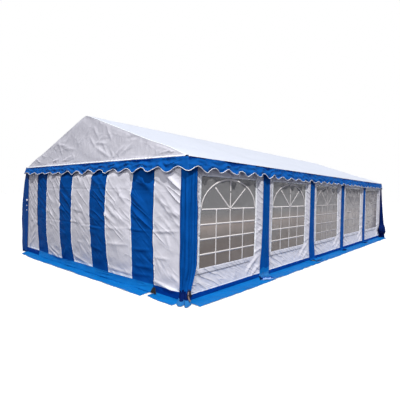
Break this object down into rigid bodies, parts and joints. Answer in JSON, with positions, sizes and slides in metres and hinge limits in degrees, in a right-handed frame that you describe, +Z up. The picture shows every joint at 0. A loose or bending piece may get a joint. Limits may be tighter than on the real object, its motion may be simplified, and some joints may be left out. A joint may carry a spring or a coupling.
{
  "type": "party tent",
  "caption": "Long party tent with a pitched white roof, scalloped blue valance, arched window panels and blue and white striped end walls.",
  "frame": {"origin": "on the ground, at the middle of the tent's outline", "axes": "+Z up; Y along the ridge, the front end wall faces -Y; +X is the right long side seen from the front"},
  "size_m": [5.55, 10.49, 2.75],
  "materials": {
    "white_cloth": "coated white tarpaulin cloth, satin, creased",
    "blue_cloth": "coated royal blue tarpaulin cloth, satin, creased",
    "clear_film": "clear flexible window film, slightly hazy",
    "galvanised_steel": "galvanised tube"
  },
  "bodies": {
    "root": {"cross_frame_1": "galvanised_steel", "cross_frame_2": "galvanised_steel", "cross_frame_3": "galvanised_steel", "cross_frame_4": "galvanised_steel", "cross_frame_5": "galvanised_steel", "cross_frame_6": "galvanised_steel", "ridge_purlins": "galvanised_steel", "left_eave_purlins": "galvanised_steel", "right_eave_purlins": "galvanised_steel", "roof_cover": "white_cloth", "front_gable": "white_cloth", "front_valance": "blue_cloth", "front_wall": "white_cloth", "front_skirt": "blue_cloth", "corner_wrap_front_left": "blue_cloth", "corner_wrap_front_right": "blue_cloth", "back_gable": "white_cloth", "back_valance": "blue_cloth", "back_wall": "white_cloth", "back_skirt": "blue_cloth", "corner_wrap_back_left": "blue_cloth", "corner_wrap_back_right": "blue_cloth", "left_valance": "blue_cloth", "left_skirt": "blue_cloth", "left_window_film": "clear_film", "left_panel_1": "white_cloth", "left_panel_2": "white_cloth", "left_panel_3": "white_cloth", "left_panel_4": "white_cloth", "left_panel_5": "white_cloth", "left_post_strip_1": "blue_cloth", "left_post_strip_2": "blue_cloth", "left_post_strip_3": "blue_cloth", "left_post_strip_4": "blue_cloth", "right_valance": "blue_cloth", "right_skirt": "blue_cloth", "right_window_film": "clear_film", "right_panel_1": "white_cloth", "right_panel_2": "white_cloth", "right_panel_3": "white_cloth", "right_panel_4": "white_cloth", "right_panel_5": "white_cloth", "right_post_strip_1": "blue_cloth", "right_post_strip_2": "blue_cloth", "right_post_strip_3": "blue_cloth", "right_post_strip_4": "blue_cloth"}
  },
  "joints": []
}
